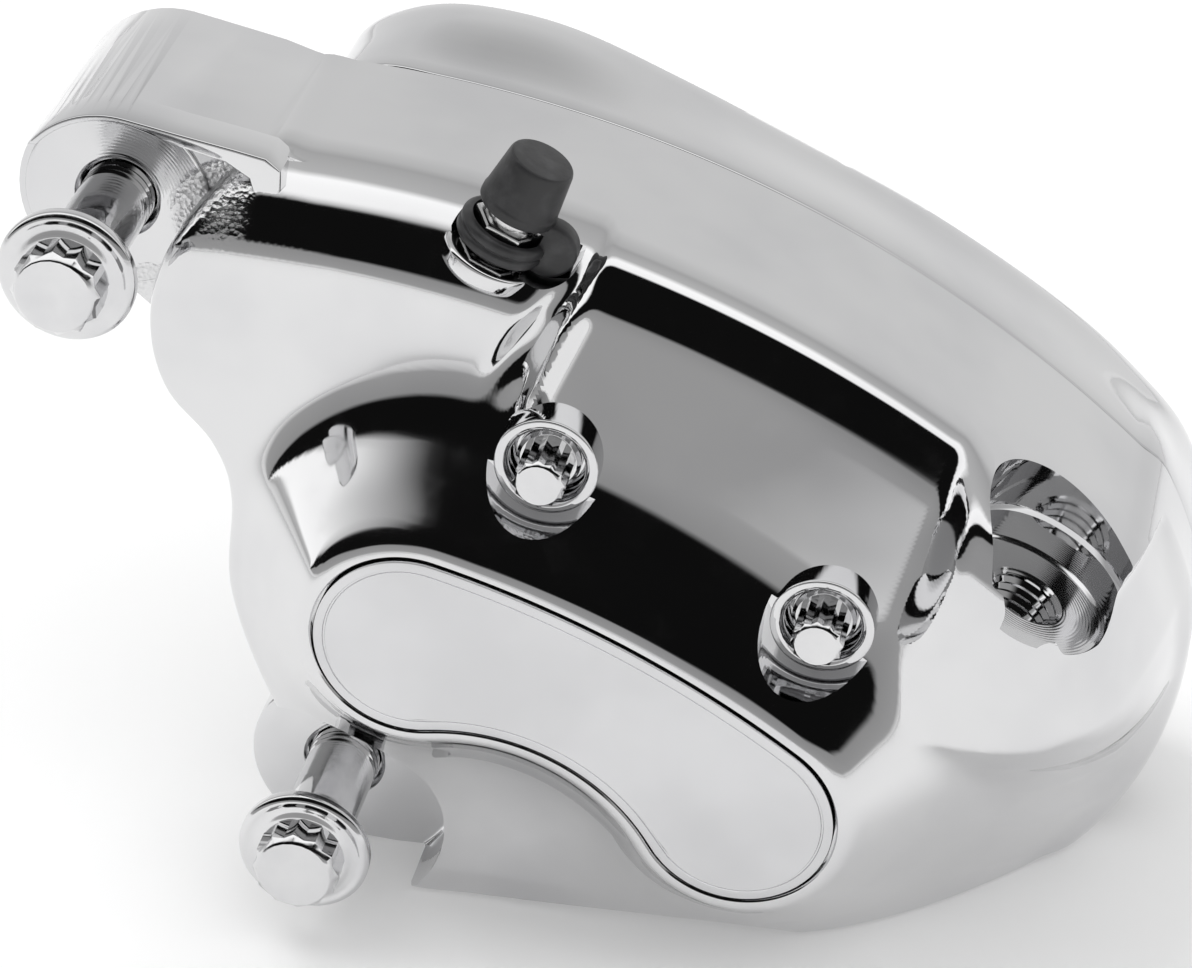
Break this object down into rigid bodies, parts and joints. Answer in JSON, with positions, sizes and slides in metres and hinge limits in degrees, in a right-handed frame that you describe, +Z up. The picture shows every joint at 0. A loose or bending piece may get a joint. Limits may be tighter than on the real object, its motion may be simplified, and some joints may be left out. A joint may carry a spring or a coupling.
{
  "type": "motorcycle disc brake caliper",
  "caption": "Fixed opposed-piston disc brake caliper in two bolted chromed halves, with mounting bolts, pad pins, bleeder and banjo port.",
  "frame": {"origin": "centre of the bounding box's bottom, on the surface that the caliper stands on", "axes": "+Y along the wheel axis from the outboard to the inboard side, +Z up with the caliper standing on its inner edges, +X towards the banjo port end"},
  "size_m": [0.1526, 0.091, 0.1112],
  "materials": {
    "chrome_casting": "polished and chromed casting",
    "chrome_plate": "flat polished chrome",
    "chrome_fastener": "chromed twelve-point fastener",
    "plated_steel": "zinc plated steel",
    "machined_steel": "ground and turned steel",
    "spring_steel": "cold rolled stainless strip",
    "backing_steel": "black painted steel plate",
    "friction_compound": "sintered friction material, matt and granular",
    "seal_rubber": "smooth square-cut rubber",
    "cap_rubber": "matt black moulded rubber"
  },
  "bodies": {
    "housing": {"outer_body": "chrome_casting", "inner_body": "chrome_casting", "inset_plate": "chrome_plate", "outer_seal_left": "seal_rubber", "outer_seal_right": "seal_rubber", "outer_wiper_left": "seal_rubber", "outer_wiper_right": "seal_rubber", "inner_seal_left": "seal_rubber", "inner_seal_right": "seal_rubber", "inner_wiper_left": "seal_rubber", "inner_wiper_right": "seal_rubber", "anti_rattle_spring": "spring_steel", "pad_pin_left": "chrome_fastener", "pad_pin_right": "chrome_fastener", "bridge_bolt_1": "plated_steel", "bridge_bolt_2": "plated_steel", "bridge_bolt_3": "plated_steel", "crossover_o_ring_1": "seal_rubber", "crossover_o_ring_2": "seal_rubber"},
    "outer_pad": {"outer_pad_backing": "backing_steel", "outer_pad_lining": "friction_compound"},
    "inner_pad": {"inner_pad_backing": "backing_steel", "inner_pad_lining": "friction_compound"},
    "outer_piston_left": {"outer_piston_left": "machined_steel"},
    "outer_piston_right": {"outer_piston_right": "machined_steel"},
    "inner_piston_left": {"inner_piston_left": "machined_steel"},
    "inner_piston_right": {"inner_piston_right": "machined_steel"},
    "bleeder_valve": {"bleeder_valve": "plated_steel"},
    "bleeder_cap": {"bleeder_cap": "cap_rubber"},
    "mounting_bolt_upper": {"mounting_bolt_upper": "chrome_fastener"},
    "mounting_bolt_lower": {"mounting_bolt_lower": "chrome_fastener"}
  },
  "joints": [
    {"name": "outer_pad_slide", "type": "slide", "parent": "housing", "child": "outer_pad", "axis": [0, 1, 0], "range_m": [-0.0015, 0.0024]},
    {"name": "inner_pad_slide", "type": "slide", "parent": "housing", "child": "inner_pad", "axis": [0, -1, 0], "range_m": [-0.0015, 0.0024]},
    {"name": "outer_piston_left_slide", "type": "slide", "parent": "housing", "child": "outer_piston_left", "axis": [0, 1, 0], "range_m": [-0.0015, 0.0024]},
    {"name": "outer_piston_right_slide", "type": "slide", "parent": "housing", "child": "outer_piston_right", "axis": [0, 1, 0], "range_m": [-0.0015, 0.0024]},
    {"name": "inner_piston_left_slide", "type": "slide", "parent": "housing", "child": "inner_piston_left", "axis": [0, -1, 0], "range_m": [-0.0015, 0.0024]},
    {"name": "inner_piston_right_slide", "type": "slide", "parent": "housing", "child": "inner_piston_right", "axis": [0, -1, 0], "range_m": [-0.0015, 0.0024]},
    {"name": "bleeder_valve_turn", "type": "hinge", "parent": "housing", "child": "bleeder_valve", "pos_m": [-0.01253, -0.0205, 0.0962], "axis": [0.4384, 0, 0.8988], "range_deg": [0, 270]},
    {"name": "bleeder_cap_lift", "type": "slide", "parent": "housing", "child": "bleeder_cap", "axis": [0.4384, 0, 0.8988], "range_m": [0, 0.012]},
    {"name": "mounting_bolt_upper_slide", "type": "slide", "parent": "housing", "child": "mounting_bolt_upper", "axis": [0, -1, 0], "range_m": [0, 0.014]},
    {"name": "mounting_bolt_lower_slide", "type": "slide", "parent": "housing", "child": "mounting_bolt_lower", "axis": [0, -1, 0], "range_m": [0, 0.014]}
  ],
  "couplings": [
    {"joint": "outer_piston_left_slide", "follows": "outer_pad_slide", "ratio": 1},
    {"joint": "outer_piston_right_slide", "follows": "outer_pad_slide", "ratio": 1},
    {"joint": "inner_piston_left_slide", "follows": "inner_pad_slide", "ratio": 1},
    {"joint": "inner_piston_right_slide", "follows": "inner_pad_slide", "ratio": 1}
  ]
}
